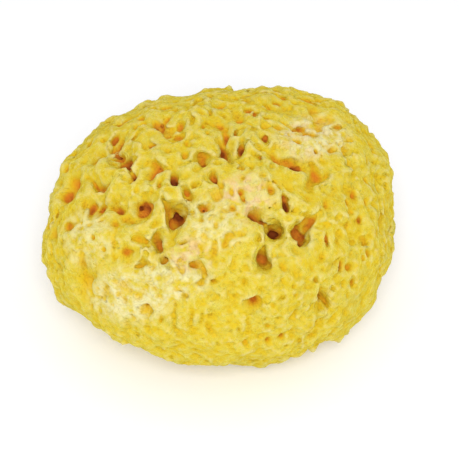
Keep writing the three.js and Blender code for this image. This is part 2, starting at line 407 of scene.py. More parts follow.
# Small pores and dents that are seen, each as (across, up, wide, tall, turn, deep): the middle as seen from
# the eye, the size as seen, all in millimetres, the turn anticlockwise in degrees, and how deep it goes.
SEEN_PORES = (
    (-11, 16.3, 2, 2.4, 0, 3), (-4.2, 37.3, 1.8, 1.6, 0, 3), (-6.4, 38.8, 1.4, 1.2, 0, 2),
    (12.6, 22.8, 2.4, 2, 0, 2), (9.1, 13.8, 2, 1.6, 0, 2.5), (-8.2, 1.3, 2, 1.6, 0, 2.5),
    (43.6, -6.1, 1.6, 3.5, 0, 3), (47.8, -17.2, 1.8, 1.8, 0, 3), (51.1, -17.2, 2.7, 1.8, 0, 2.5),
    (54.1, -23.7, 2, 2.2, 0, 3), (59.9, -11.7, 1.6, 1.8, 0, 2.5), (58.1, -13.9, 1.8, 1.4, 0, 2.5),
    (39.1, -21.7, 2.7, 2, -30, 3), (36.8, -24.9, 5.5, 2.4, 0, 1.5), (39.6, -39.5, 2, 2.2, 0, 3),
    (37.3, -42.7, 2.4, 2, 0, 3), (46.1, -38.7, 3.1, 2.4, 0, 1.5), (24.8, -29.2, 2, 1.6, 0, 2),
    (30.6, -29.2, 2, 1.6, 0, 2), (22, -31.7, 1.6, 1.6, 0, 1.5), (12.5, -30.4, 3.1, 3.5, 0, 2.5),
    (-3, -42.7, 2, 4.7, 8, 1.5), (24.8, -45.7, 1.6, 1.6, 0, 2.5), (19.8, -47.7, 1.4, 1.6, 0, 2.5),
    (10.8, -48.7, 1.4, 1.6, 0, 2.5), (7.5, -42.7, 1.4, 1.4, 0, 2), (11.8, -38.7, 1.4, 2.7, 0, 1.5),
    (20.3, -41.7, 1.2, 1.2, 0, 2), (29.1, -25.2, 1.6, 1.6, 0, 2), (52.1, -12.1, 4.7, 3.5, 0, 1.2),
    (41.3, -12.1, 2, 2.7, 0, 1.5), (2, -19.7, 1.6, 2.7, 0, 2), (-55.8, 1, 1.6, 1.4, 0, 2),
    (-46.8, -9, 1.6, 1.6, 0, 2), (-36.8, -11, 3.1, 3.1, 0, 2.2), (-42.8, -7, 1.2, 10.2, 0, 1.2),
    (-55.8, -18.1, 2.7, 13.4, -3, 1.4), (-28, -31.6, 2, 3.1, 0, 2), (-8.7, -23.6, 3.1, 2, 15, 2.5),
    (-15.8, -26.1, 3.5, 1.2, -15, 2), (-13.7, -28.6, 2.4, 1.4, -10, 2), (-14, -7, 2.4, 1.2, -10, 2.5),
    (1.3, -20.6, 3.1, 1.6, 20, 2), (-23.1, -38.1, 1.6, 2, 0, 1.8), (-17.8, -37.9, 1.4, 11, 0, 1.2),
    (-11.2, -36.7, 1.4, 9.4, 0, 1.2), (-6.4, -37.1, 1.4, 7.9, -4, 1), (38.8, 30.1, 2, 2, 0, 3),
    (51.5, 25.8, 1.6, 1.6, 0, 2.5), (58.1, 26, 1.6, 1.6, 0, 2.5), (41.5, 25.7, 3.1, 2.4, 0, 1.5),
    (56.7, 1.5, 1.6, 2, 0, 2.5), (52, 9.6, 1.6, 2, 0, 3), (58.2, 8.9, 1.6, 1.6, 0, 2.5),
    (54.1, 12.8, 1.6, 1.6, 0, 2.5), (-13.7, 28.5, 2.4, 2.4, 0, 2.5), (-12.6, 33.2, 2.4, 2, 0, 2.5),
    (-50, -4.5, 2, 2, 0, 2), (-59.1, 7.3, 2.7, 3.5, 0, 1.2), (-42.6, 0.6, 3.5, 2.7, 0, 2),
    (-38.3, 3.3, 4.7, 3.5, 0, 2.2), (-23.7, 17.1, 2, 2.7, 0, 2.5), (-22.5, 10.4, 1.6, 2.4, 0, 2),
    (-27.7, 14.3, 2.4, 2, 0, 2), (-33.9, 14.7, 2.7, 2.4, -20, 2.5), (-29.2, 31.6, 2.7, 2.4, 0, 2.5),
    (-35.1, 38.7, 2.7, 2.4, 0, 2.2), (-21, 47.3, 2.7, 2, 0, 2), (-13.1, 49.7, 2.7, 2, 0, 2),
    (11.6, 46.2, 3.5, 2, 0, 2), (8.1, 41.4, 2.7, 2.4, 0, 2), (4.6, 14.3, 2.4, 3.5, 0, 1.6),
    (-2.1, 10.4, 2.4, 2.7, 0, 1.6), (8.9, -3.3, 2, 2.4, 0, 1.5), (2.6, -8.4, 2.4, 2.7, 0, 1.6),
    (-2.5, -11.2, 2.4, 2.4, 0, 1.6), (30.1, 14.7, 3.5, 2.4, -20, 1.6), (35.2, 11.2, 3.1, 2.7, 0, 1.6),
    (46.2, 14.7, 3.5, 2.7, 0, 1.4), (43.1, 7.3, 2.7, 3.1, 0, 1.4), (31.3, -10.4, 3.5, 2.7, 0, 1.4),
    (25.8, -16.7, 2.7, 2.4, 0, 1.4), (17.1, -20.6, 2, 3.1, 0, 1.6), (10.1, -22.6, 2, 2.7, 0, 1.6),
    (-4.9, -30.1, 2, 3.1, 0, 1.4),
)

# The darkest pits that are seen, listed in the same way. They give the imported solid's pits their mouths.
SEEN_PITS = (
    (-24.6, -6.4, 3.0, 6.2, 4, 5.5), (-18.8, 3.0, 3.2, 7.2, 8, 5.5), (-21.7, -14.2, 3.2, 3.4, 0, 4.0),
    (-9.6, -15.9, 3.6, 3.0, 25, 4.0), (13.3, 3.6, 4.4, 3.4, 0, 4.5), (22.9, -2.9, 4.0, 4.4, 0, 5.5),
    (31.2, -2.6, 3.0, 4.6, -30, 5.5), (35.6, 1.2, 2.8, 4.4, -30, 5.0), (17.7, -13.4, 3.6, 5.0, 10, 5.5),
    (42.5, -30.0, 2.8, 6.8, 22, 5.0), (26.9, 8.2, 2.0, 4.6, 0, 4.5), (1.9, 29.6, 2.6, 6.2, 14, 5.0),
    (-40.3, 27.3, 4.6, 3.2, 0, 4.0), (-41.6, 34.6, 2.6, 3.6, -12, 4.0), (-42.9, 7.6, 3.8, 2.6, 0, 3.5),
    (-50.9, 7.0, 2.2, 6.0, 0, 3.0), (-13.0, 13.8, 2.0, 4.2, 0, 4.0), (-7.4, 26.2, 4.2, 4.2, 0, 3.5),
    (8.2, 29.6, 2.2, 4.0, -10, 3.5), (-32.7, 8.2, 2.6, 5.0, 0, 3.5), (-3.0, 19.4, 3.0, 3.6, 0, 3.5),
    (-32.7, -5.6, 3.4, 3.4, 0, 3.5), (-32.2, -16.4, 3.6, 1.4, 10, 3.0),
)

# Where a listed pore opens into one of the solid's pits as too wide a cup, and the skin is raised again, each
# as (across, up, wide, high) in millimetres.
RAISED = ((12.6, -28.8, 7.5, 2.4), (-28.2, -30.7, 7.5, 2.4))

# Tufts that break the outline as it is seen, each as (across, up, wide, tall) in millimetres.
EDGE_TUFTS = (
    (3.0, 56.4, 5.2, 1.5), (-6.4, 53.6, 4.4, 1.0), (16.3, 54.0, 5.0, 1.0), (28.1, 54.0, 5.2, 1.0),
    (59.2, 39.9, 4.4, 1.2), (69.0, 13.2, 3.8, 0.9), (50.1, -43.0, 4.6, 1.3), (46.6, -46.2, 4.0, 0.9),
    (37.9, -50.1, 4.6, 1.2), (32.4, -53.2, 4.0, 0.9), (-38.7, -47.7, 3.6, 0.6),
)


@dataclass(frozen=True)
class Scatter:
    """How a kind of pore is thrown over the skin: how far apart, how large, how round and how deep."""

    apart_coarse: float
    apart_fine: float
    least_wide: float
    most_wide: float
    slim: float
    least_deep: float
    most_deep: float
    throws: int


WALL_MIDDLE = np.float32(0.35)


class Form(Enum):
    """What a layer of noise is made into."""

    LUMPS = "the noise itself"
    WALLS = "sharp walls between round dimples"

    def shaped(self, noise: Array) -> Array:
        """The noise as a depth into the skin.

        Lumps take it as it is. Walls take its size without its sign, less the middle of that size, which is
        sharp where the noise passes through zero.

        Args:
            noise: Smooth noise with a spread of one.

        Returns:
            The depth, for a layer of a height of one.
        """
        if self is Form.WALLS:
            return np.abs(noise) - WALL_MIDDLE
        return noise


@dataclass(frozen=True)
class Layer:
    """One layer of relief: its form, its wave along each axis, and its height where coarse and where fine."""

    form: Form
    wave: tuple[float, float, float]
    coarse: float
    fine: float


LAYERS = (
    Layer(Form.LUMPS, (8 * MM, 8 * MM, 8 * MM), 0.22 * MM, 0.20 * MM),
    Layer(Form.WALLS, (4.0 * MM, 4.0 * MM, 4.0 * MM), 0.12 * MM, 0.05 * MM),
    Layer(Form.WALLS, (2.2 * MM, 2.2 * MM, 2.2 * MM), 0.18 * MM, 0.16 * MM),
    Layer(Form.LUMPS, (2.2 * MM, 9 * MM, 11 * MM), 0.02 * MM, 0.16 * MM),
    Layer(Form.LUMPS, (1.3 * MM, 1.3 * MM, 1.3 * MM), 0.15 * MM, 0.13 * MM),
)


@dataclass(frozen=True)
class Gaps:
    """Gaps that open in the skin wherever smooth noise of a wave is over a limit, down to a depth."""

    wave: float
    limit: float
    coarse: float
    fine: float


GAPS = (
    Gaps(3.4 * MM, 1.3, 1.0 * MM, 0.3 * MM),
    Gaps(2.1 * MM, 1.1, 0.85 * MM, 0.6 * MM),
)


@dataclass
class Skeleton:
    """The sponge's skeleton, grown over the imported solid."""

    sight: Sight
    pitch: float = 0.5 * MM
    band: int = 12
    seed: int = 7
    melt: float = 0.45 * MM
    fill: float = 0.85 * MM
    fine_fill: float = 0.7 * MM
    level_radius: float = 3.0 * MM
    dimple_radius: float = 1.6 * MM
    fine_dimples: float = 0.3
    inset: float = -0.1 * MM
    brim: float = 1.0 * MM
    gap_brim: float = 0.8 * MM
    canal_brim: float = 1.3 * MM
    shrink: float = 0.018
    warp_band: float = 2.5 * MM
    crowd_radius: float = 2.0 * MM
    crowd_limit: float = 0.56
    least_apart: float = 0.8
    most_apart: float = 1.25
    fine_size: float = 0.35
    spin: float = 0.5
    least_facing: float = 0.45
    pore_clear: float = 1.4
    pit_clear: float = 1.6
    bell: float = 0.42
    foot: tuple[float, float] = (-22 * MM, -2 * MM)
    flank: tuple[float, float] = (34 * MM, 54 * MM)
    flank_front: tuple[float, float] = (-5 * MM, 15 * MM)
    flank_fineness: float = 0.75
    near_radius: float = 1.2 * MM
    faced_radius: float = 3.2 * MM
    faced_ahead: float = 0.8 * MM
    faced_above: float = 1.6 * MM
    pits: Scatter = Scatter(8.0 * MM, 14.0 * MM, 2.2 * MM, 4.4 * MM, 0.6, 0.4, 0.75, 9000)
    pores: Scatter = Scatter(6.0 * MM, 5.0 * MM, 1.1 * MM, 2.0 * MM, 0.7, 0.6, 1.0, 9000)
    bends: tuple[tuple[float, float], ...] = ((5.0 * MM, 0.5 * MM), (1.9 * MM, 0.2 * MM))
    triangles: int = 196000

    def __post_init__(self) -> None:
        """Makes the die and the voxels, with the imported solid's distances on them."""
        self.rng = np.random.default_rng(self.seed)
        self.corners = corners_of(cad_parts[NODE].data)
        self.block, self.solid = self._packed_solid()
        self.level = self.block.blur(self.solid, self.level_radius)
        self.crowd = self.block.blur((self.solid < 0).astype(np.float32), self.crowd_radius)

    def _packed_solid(self) -> tuple[Block, Array]:
        """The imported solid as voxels.

        Returns:
            The block of voxels, and the distance to the solid's skin on it, below zero inside.
        """
        points, where = np.unique(self.corners.reshape(-1, 3).round(6), axis=0, return_inverse=True)
        grid = openvdb.FloatGrid.createLevelSetFromPolygons(
            points.astype(np.float32),
            triangles=where.reshape(-1, 3).astype(np.uint32),
            transform=openvdb.createLinearTransform(voxelSize=self.pitch),
            halfWidth=self.band,
        )
        low, high = grid.evalActiveVoxelBoundingBox()
        margin = 3
        low = np.array(low) - margin
        block = Block(low, np.array(high) + margin + 1 - low, self.pitch)
        values = np.empty(block.shape, np.float32)
        grid.copyToArray(values, ijk=tuple(int(n) for n in low))
        return block, values

    def _coarse(self, points: Array) -> Array:
        """How coarse the skeleton is, from 0 at the fine foot and right flank to 1 on the crown and back."""
        across, up = self.sight.seen(points)
        front = (points - np.array(self.sight.heart)) @ self.sight.to_eye
        flank = smooth_step(across, *self.flank) * smooth_step(front, *self.flank_front)
        return smooth_step(up, *self.foot) * (1.0 - self.flank_fineness * flank)

    def _spread(self, points: Array, apart: Array, taken: Array) -> Array:
        """Keeps the points that stand clear of those kept before them.

        Args:
            points: Places, in the order in which they are tried.
            apart: How far each keeps from the others.
            taken: Places that are taken already, with how far each keeps in a fourth column.

        Returns:
            The numbers of the points that are kept.
        """
        held = np.empty((len(taken) + len(points), 4))
        held[: len(taken)] = taken
        count = len(taken)
        kept = []
        for n, (point, clear) in enumerate(zip(points, apart)):
            gap = ((held[:count, :3] - point) ** 2).sum(1)
            if (gap < ((held[:count, 3] + clear) / 2) ** 2).any():
                continue
            held[count] = (*point, clear)
            count += 1
            kept.append(n)
        return np.array(kept, int)

    def _seen(self, rows: Sequence[Sequence[float]], skin: Array, lean: float, flare: float) -> list[Canal]:
        """The canals that are listed by where they are seen, each set where its line of sight meets a skin.

        Args:
            rows: The list.
            skin: The distances to that skin.
            lean: How far each canal leans from straight out of the skin, at 0, to the eye, at 1.
            flare: How much their mouths widen.

        Returns:
            The canals.
        """
        across, up, wide, tall, turn, deep = np.array(rows, float).T
        places = self.block.crossings(skin, self.sight.along(across * MM, up * MM))
        outs = unit(self.block.slope(self.level, places) * (1.0 - lean) + self.sight.to_eye * lean)
        sides = unit(self.sight.right - outs * outs[:, :1])
        spin = np.radians(turn)[:, None]
        turned = sides * np.cos(spin) + np.cross(outs, sides) * np.sin(spin)
        facing = np.maximum(np.abs(outs @ self.sight.to_eye), self.least_facing)
        found = zip(places, outs, turned, wide * MM, tall * MM / facing, deep * MM)
        return [Canal(*canal, flare=flare) for canal in found]

    def _thrown(self, kind: Scatter, taken: Array) -> list[Canal]:
        """Throws one kind of pore over the skin, clear of the solid's own pits.

        Args:
            kind: The kind.
            taken: Places that are taken already, with how far each keeps in a fourth column.

        Returns:
            The pores.
        """
        rng = self.rng
        points = thrown_on(self.corners, kind.throws, rng)
        points = points[self.block.sample(self.crowd, points) < self.crowd_limit]
        coarse = self._coarse(points)
        apart = kind.apart_fine + (kind.apart_coarse - kind.apart_fine) * coarse
        apart *= rng.uniform(self.least_apart, self.most_apart, len(points))
        kept = self._spread(points, apart, taken)
        places, coarse = points[kept], coarse[kept]
        outs = self.block.slope(self.level, places)
        share = rng.random(len(kept)) * (self.fine_size + (1.0 - self.fine_size) * coarse)
        wide = kind.least_wide + (kind.most_wide - kind.least_wide) * share
        tall = wide * rng.uniform(kind.slim, 1.0, len(kept))
        deep = wide * rng.uniform(kind.least_deep, kind.most_deep, len(kept))
        spin = rng.normal(math.pi / 2, self.spin, (len(kept), 1))
        level = level_way(outs)
        sides = level * np.cos(spin) + np.cross(outs, level) * np.sin(spin)
        return [Canal(*pore) for pore in zip(places, outs, sides, wide, tall, deep)]

    def _raised(self) -> Array:
        """How far the skin is raised again: exp(-(distance / (bell wide))^2) times high at each place."""
        raised = np.zeros(self.block.shape, np.float32)
        across, up, wide, high = np.array(RAISED).T * MM
        places = self.block.crossings(self.level, self.sight.along(across, up))
        for place, reach, height in zip(places, wide, high):
            part, offset = self.block.window(place, reach)
            raised[part] += height * np.exp(-(offset**2).sum(-1) / (self.bell * reach) ** 2)
        return raised

    def _carve(self, canals: Iterable[Canal]) -> Array:
        """The distance to the nearest of many canals, below zero inside them."""
        hollow = np.full(self.block.shape, FAR, np.float32)
        for canal in canals:
            part, wall = canal.hollow(self.block)
            hollow[part] = np.minimum(hollow[part], wall)
        return hollow

    def _edge_tufts(self) -> Array:
        """The distance to the nearest of the tufts that break the outline.

        Each stands where the solid first comes within a hair of a line of sight that closes in on the heart.
        """
        hair, root = 0.1 * MM, 0.5 * MM
        inwards = np.linspace(1.04, 0.88, 65)
        mound = np.full(self.block.shape, FAR, np.float32)
        for across, up, wide, tall in EDGE_TUFTS:
            lines = self.sight.along(across * MM * inwards, up * MM * inwards, 0.5 * MM)
            gaps = self.block.sample(self.solid, lines.reshape(-1, 3)).reshape(lines.shape[:2])
            first = (gaps.min(axis=1) < hair).argmax()
            place = lines[first, gaps[first].argmin()]
            out = self.block.slope(self.level, place[None])[0]
            part, side = Tuft(place - root * out, out, wide * MM, tall * MM + root).mound(self.block)
            mound[part] = np.minimum(mound[part], side)
        return mound

    def grow(self) -> Array:
        """Grows the skeleton.

        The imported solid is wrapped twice: once in a wide blur, set in a little, which turns its pits into
        soft dimples, and once in a narrow blur with its walls thickened, which leaves slimmer holes. What is
        open in either is open. Where the skeleton is fine, the walls are thicker and the dimples go most of
        the way to the general level. The layers of relief are added, the gaps, pores and mouths are taken
        out, the edge tufts are put on, all of it is bent by a random push and drawn in a hair towards the
        origin, and the base is cut off level.

        Returns:
            The distance to the skeleton's skin, below zero inside.
        """
        block, rng = self.block, self.rng
        coarse = block.field_of(self._coarse, 4 * MM)
        dimples = block.blur(self.solid, self.dimple_radius) + np.float32(self.inset)
        kept = self.fine_dimples + (1.0 - self.fine_dimples) * coarse
        dimples = self.level + (dimples - self.level) * kept
        fill = np.float32(self.fill) + np.float32(self.fine_fill) * (1.0 - coarse)
        skin = soft_max(dimples, block.blur(self.solid, self.melt) - fill, self.brim)
        for layer in LAYERS:
            height = np.float32(layer.fine) + np.float32(layer.coarse - layer.fine) * coarse
            skin += height * layer.form.shaped(block.noise(rng, layer.wave))
        seen = self._seen(SEEN_PORES, self.solid, lean=0.0, flare=0.7)
        taken = np.array([(*c.place, self.pore_clear * max(c.wide, c.tall)) for c in seen])
        pits = self._thrown(self.pits, taken)
        taken = np.vstack([taken, [(*c.place, self.pit_clear * c.wide) for c in pits]])
        pores = self._thrown(self.pores, taken)
        log.info("canals: %d seen, %d pits, %d pores", len(seen), len(pits), len(pores))
        for gap in GAPS:
            deep = np.float32(gap.fine) + np.float32(gap.coarse - gap.fine) * coarse
            hollow = (np.float32(gap.limit) - block.noise(rng, gap.wave)) * np.float32(gap.wave / 2)
            skin = soft_max(skin, -np.maximum(hollow, -skin - deep), self.gap_brim)
        mouths = self._seen(SEEN_PITS, self.level, lean=0.6, flare=0.3)
        skin = soft_max(skin, -self._carve([*seen, *mouths, *pits, *pores]), self.canal_brim) - self._raised()
        skin = -soft_max(-skin, -self._edge_tufts(), self.gap_brim)
        push = [sum(np.float32(far) * block.noise(rng, wave) for wave, far in self.bends) for _ in range(3)]
        for axis, place in enumerate(np.meshgrid(*block.axes, indexing="ij", sparse=True)):
            push[axis] += np.float32(self.shrink) * place
        skin = block.warped(skin, push, self.warp_band)
        return np.maximum(skin, -block.axes[2][None, None, :]).astype(np.float32)

    def _drawn(self, skin: Array) -> tuple[Array, Array]:
        """Draws the surface where the distances pass through zero, and keeps its largest shell.

        Args:
            skin: The distances.

        Returns:
            The points, and the four corners of each face, which point outwards.
        """
        grid = openvdb.FloatGrid(float(skin.max()))
        grid.copyFromArray(skin, ijk=tuple(int(n) for n in self.block.low))
        grid.transform = openvdb.createLinearTransform(voxelSize=self.pitch)
        points, _, quads = grid.convertToPolygons(isovalue=0.0, adaptivity=0.0)
        quads = quads.astype(np.int64)
        label = np.arange(len(points))
        while True:
            lower = label.copy()
            least = label[quads].min(axis=1)
            for corner in quads.T:
                np.minimum.at(lower, corner, least)
            lower = lower[lower]
            if (lower == label).all():
                break
            label = lower
        quads = quads[label[quads[:, 0]] == np.bincount(label).argmax()]
        used, flat = np.unique(quads, return_inverse=True)
        points, quads = points[used].astype(float), flat.reshape(-1, 4)
        a, b, c, d = points[quads].transpose(1, 0, 2)
        held = (np.cross(a, b) * c).sum() + (np.cross(a, c) * d).sum()
        return points, quads if held > 0 else quads[:, ::-1]

    def build(self) -> bpy.types.Object:
        """Builds the skeleton's mesh, thinned to its number of triangles, with what its finish reads.

        Returns:
            The piece.
        """
        self.skin = self.grow()
        full = (self.skin < 0).astype(np.float32)
        self.near = self.block.blur(full, self.near_radius)
        self.walls = self.block.blur(full, self.faced_radius)
        points, quads = self._drawn(self.skin)
        log.info("skin drawn: %d faces", len(quads))
        rough = bpy.data.meshes.new("sponge_rough")
        rough.from_pydata(points, [], quads)
        piece = placed("sponge_skeleton", rough)
        thin = piece.modifiers.new("thin", "DECIMATE")
        thin.ratio = self.triangles / (2 * len(quads))
        bpy.context.view_layer.update()
        graph = bpy.context.evaluated_depsgraph_get()
        mesh = bpy.data.meshes.new_from_object(piece.evaluated_get(graph))
        piece.modifiers.clear()
        piece.data = mesh
        bpy.data.meshes.remove(rough)
        mesh.name = "sponge_skeleton"
        mesh.polygons.foreach_set("use_smooth", np.ones(len(mesh.polygons), bool))
        co = np.empty(len(mesh.vertices) * 3)
        mesh.vertices.foreach_get("co", co)
        points = co.reshape(-1, 3)
        points[:, 2] = np.maximum(points[:, 2], 0.0)
        mesh.vertices.foreach_set("co", co)
        write_marks(mesh, {**self.marks(points), "hue": np.full(len(points), 0.5)})
        log.info("skeleton: %d triangles", sum(len(p.vertices) - 2 for p in mesh.polygons))
        return piece

    def marks(self, points: Array) -> dict[str, Array]:
        """What the finish reads of the place where a point lies.

        near is the share of skeleton in a small cube around the point: about a half on level skin, less on a
        ridge and more down a pit. faced is the share in a larger cube that stands off the skin, there or a
        little higher, which is how sheltered the point is from the sky. deep is how far it lies under the
        skin's general level, in millimetres. The finish paints shade where near and faced are high, and paler
        crests where near is low.

        Args:
            points: Places, one in each row.

        Returns:
            The marks by name.
        """
        across, up = self.sight.seen(points)
        ahead = points + self.faced_ahead * self.block.slope(self.skin, points)
        above = ahead + np.array((0.0, 0.0, self.faced_above))
        return {
            "near": self.block.sample(self.near, points),
            "faced": np.maximum(*(self.block.sample(self.walls, places) for places in (ahead, above))),
            "deep": -self.block.sample(self.level, points) / MM,
            "coarse": self._coarse(points),
            "seen_across": across / MM,
            "seen_up": up / MM,
        }


def write_marks(mesh: bpy.types.Mesh, marks: dict[str, Array]) -> None:
    """Writes numbers to each point of a mesh, by name, for its finish to read."""
    for name, values in marks.items():
        mesh.attributes.new(name, "FLOAT", "POINT").data.foreach_set("value", values.astype(np.float32))


@dataclass
class Threads:
    """Three-sided threads in one mesh, each along its own path over the skin."""

    path: Array
    out: Array
    half: Array
    ends: float = 0.3

    def mesh(self, name: str) -> bpy.types.Mesh:
        """Builds the mesh.

        A ring of three points stands around each point of a path, the first of them on the outer side. The
        half width is the thread's own times a taper, which rises from ends at both ends to 1 in the middle
        as a half circle does.

        Args:
            name: The mesh's name.

        Returns:
            The mesh.
        """
        way = unit(np.gradient(self.path, axis=1))
        side = unit(np.cross(way, self.out))
        turns = math.pi / 2 - np.arange(3) * 2 * math.pi / 3
        t = np.linspace(-1.0, 1.0, self.path.shape[1])
        half = self.half[:, None] * (self.ends + (1.0 - self.ends) * np.sqrt(1.0 - t * t))
        around = np.cos(turns)[:, None] * side[..., None, :] + np.sin(turns)[:, None] * self.out[..., None, :]
        points = self.path[..., None, :] + half[..., None, None] * around
        faces = self._faces() + np.arange(len(points))[:, None, None] * (3 * len(t))
        mesh = bpy.data.meshes.new(name)
        mesh.from_pydata(points.reshape(-1, 3), [], faces.reshape(-1, 3))
        mesh.polygons.foreach_set("use_smooth", np.ones(len(mesh.polygons), bool))
        return mesh

    def _faces(self) -> Array:
        """The faces of one thread: a cap at each end, and two triangles a side from each ring to the next."""
        last = 3 * (self.path.shape[1] - 1)
        faces = [(2, 1, 0), (last, last + 1, last + 2)]
        for ring in range(0, last, 3):
            for n in range(3):
                a, b = ring + n, ring + (n + 1) % 3
                faces += [(a, b, b + 3), (a, b + 3, a + 3)]
        return np.array(faces)


@dataclass
class Felt:
    """The felt on the skeleton: fine threads that wander over its skin and cross each other."""

    skeleton: Skeleton
    seed: int = 11
    throws: int = 300000
    pieces: int = 4
    each: int = 6200
    apart: float = 0.9 * MM
    steps: int = 5
    least_step: float = 0.6 * MM
    most_step: float = 1.3 * MM
    bend: float = 0.4
    twist: float = 0.15
    least_half: float = 0.07 * MM
    most_half: float = 0.16 * MM
    lift: float = 0.02 * MM
    stray: float = 0.3 * MM
    deepest: float = 3.0 * MM
    foot_height: float = 0.5 * MM

    def _places(self, mesh: bpy.types.Mesh) -> Array:
        """Random places on the skin, not far down the canals.

        Many are thrown evenly by area, and the first in each small cube of space is kept.

        Args:
            mesh: The skeleton's mesh.

        Returns:
            The places, in random order.
        """
        places = thrown_on(corners_of(mesh), self.throws, self.rng)
        places = places[places[:, 2] > self.foot_height]
        level = self.skeleton.block.sample(self.skeleton.level, places)
        places = places[level > -self.deepest]
        _, first = np.unique(np.floor(places / self.apart).astype(int), axis=0, return_index=True)
        return places[self.rng.permutation(first)]

    def _walk(self, places: Array) -> tuple[Array, Array]:
        """Walks over the skin from each place.

        Each step goes on along the skin, turned a little by the walk's own bend, which changes evenly on the
        way, and is then set back on the skin by the distance that it has strayed. Walks that leave it are
        dropped.

        Args:
            places: Where the walks start.

        Returns:
            The paths, and the ways out of the skin along them.
        """
        rng, block, skin = self.rng, self.skeleton.block, self.skeleton.skin
        out = block.slope(skin, places)
        level = level_way(out)
        turn = rng.uniform(0, 2 * math.pi, (len(places), 1))
        way = np.cos(turn) * level + np.sin(turn) * np.cross(out, level)
        bend, twist = rng.normal(0.0, self.bend, turn.shape), rng.normal(0.0, self.twist, turn.shape)
        step = rng.uniform(self.least_step, self.most_step, turn.shape)
        path, outs = [places], [out]
        for n in range(self.steps):
            way = unit(way + (bend + twist * (n - self.steps / 2)) * np.cross(out, way))
            point = path[-1] + step * way
            for _ in range(2):
                out = block.slope(skin, point)
                point = point - np.clip(block.sample(skin, point), -MM, MM)[:, None] * out
            way = unit(way - out * (way * out).sum(axis=1, keepdims=True))
            path.append(point)
            outs.append(out)
        path, outs = np.stack(path, axis=1), np.stack(outs, axis=1)
        strayed = np.abs(block.sample(skin, path.reshape(-1, 3))).reshape(path.shape[:2]).max(axis=1)
        kept = (strayed < self.stray) & (path[..., 2].min(axis=1) > self.foot_height)
        return path[kept] + self.lift * outs[kept], outs[kept]

    def build(self, skin: bpy.types.Object) -> list[bpy.types.Object]:
        """Builds the felt's pieces on the skeleton's finished mesh.

        Args:
            skin: The skeleton.

        Returns:
            The pieces.
        """
        self.rng = np.random.default_rng(self.seed)
        path, out = self._walk(self._places(skin.data))
        half = self.rng.uniform(self.least_half, self.most_half, len(path))
        hue = self.rng.random(len(path))
        log.info("felt: %d threads laid", len(path))
        made = []
        for n in range(self.pieces):
            part = slice(n * self.each, (n + 1) * self.each)
            mesh = Threads(path[part], out[part], half[part]).mesh(f"felt_threads_{n + 1}")
            rings = path[part].reshape(-1, 3)
            marks = {key: np.repeat(values, 3) for key, values in self.skeleton.marks(rings).items()}
            write_marks(mesh, {**marks, "hue": np.repeat(hue[part], 3 * path.shape[1])})
            made.append(placed(mesh.name, mesh))
            log.info("%s: %d triangles", mesh.name, len(mesh.polygons))
        return made


class Socket:
    """A node's output that arithmetic can be done on: each operation adds one Math node."""

    def __init__(self, shading: Shading, link: Any) -> None:
        """Wraps a socket of a material's nodes."""
        self.shading = shading
        self.link = link

    def _math(self, operation: str, *values: Any) -> Socket:
        """Adds one Math node."""
        return self.shading.node("ShaderNodeMath", {"operation": operation}, values)

    def __add__(self, other: Any) -> Socket:
        """self + other."""
        return self._math("ADD", self, other)

    def __sub__(self, other: Any) -> Socket:
        """self - other."""
        return self._math("SUBTRACT", self, other)

    def __mul__(self, other: Any) -> Socket:
        """self * other."""
        return self._math("MULTIPLY", self, other)

    def __truediv__(self, other: Any) -> Socket:
        """self / other."""
        return self._math("DIVIDE", self, other)

    def __pow__(self, other: Any) -> Socket:
        """self to the power of other."""
        return self._math("POWER", self, other)

    def clamp(self) -> Socket:
        """self held between 0 and 1."""
        return self.shading.node("ShaderNodeClamp", {}, {"Value": self})

    def ramp(self, low: float, high: float) -> Socket:
        """A smooth rise from 0 where self is low to 1 where it is high; it falls if low is over high."""
        return self.shading.node(
            "ShaderNodeMapRange",
            {"interpolation_type": "SMOOTHSTEP", "clamp": True},
            {"Value": self, "From Min": low, "From Max": high, "To Min": 0.0, "To Max": 1.0},
        )


class Shading:
    """The nodes of one material."""

    def __init__(self, name: str) -> None:
        """Makes an empty material."""
        self.material = bpy.data.materials.new(name)
        self.material.use_nodes = True
        self.tree = self.material.node_tree
        self.tree.nodes.clear()

    def node(self, kind: str, settings: dict[str, Any], inputs: Any = (), output: int | str = 0) -> Socket:
        """Adds one node.

        Args:
            kind: The node's type.
            settings: Its settings, which are set first.
            inputs: The values or links of its sockets, by name or in order.
            output: Which output is handed back.

        Returns:
            The output.
        """
        made = self.tree.nodes.new(kind)
        for key, value in settings.items():
            setattr(made, key, value)
        pairs = inputs.items() if isinstance(inputs, dict) else enumerate(inputs)
        for key, value in pairs:
            if isinstance(value, Socket):
                self.tree.links.new(value.link, made.inputs[key])
            else:
                made.inputs[key].default_value = value
        return Socket(self, made.outputs[output] if made.outputs else None)

    def attribute(self, name: str) -> Socket:
        """A number that the mesh holds for each point."""
        return self.node("ShaderNodeAttribute", {"attribute_name": name}, (), "Fac")

    def mix(self, share: Any, a: Any, b: Any) -> Socket:
        """Mixes two colours.

        Args:
            share: How much of the second.
            a: The first colour.
            b: The second.

        Returns:
            The mixed colour.
        """
        settings = {"data_type": "RGBA", "blend_type": "MIX", "clamp_factor": True}
        return self.node("ShaderNodeMix", settings, {0: share, 6: a, 7: b}, 2)

    def noise(self, place: Socket, size: float, detail: float = 2.0, rough: float = 0.5) -> Socket:
        """Cloudy noise around a half, with blots about as large as size."""
        values = {"Vector": place, "Scale": 1.0 / size, "Detail": detail, "Roughness": rough}
        return self.node("ShaderNodeTexNoise", {"noise_dimensions": "3D"}, values, "Fac")

    def matt(self, values: dict[str, Any]) -> bpy.types.Material:
        """Ends the material in one Principled shader that takes the values.

        Args:
            values: The values or links of its sockets, by name.

        Returns:
            The material.
        """
        shader = self.node("ShaderNodeBsdfPrincipled", {}, values)
        self.node("ShaderNodeOutputMaterial", {}, {"Surface": shader})
        return self.material


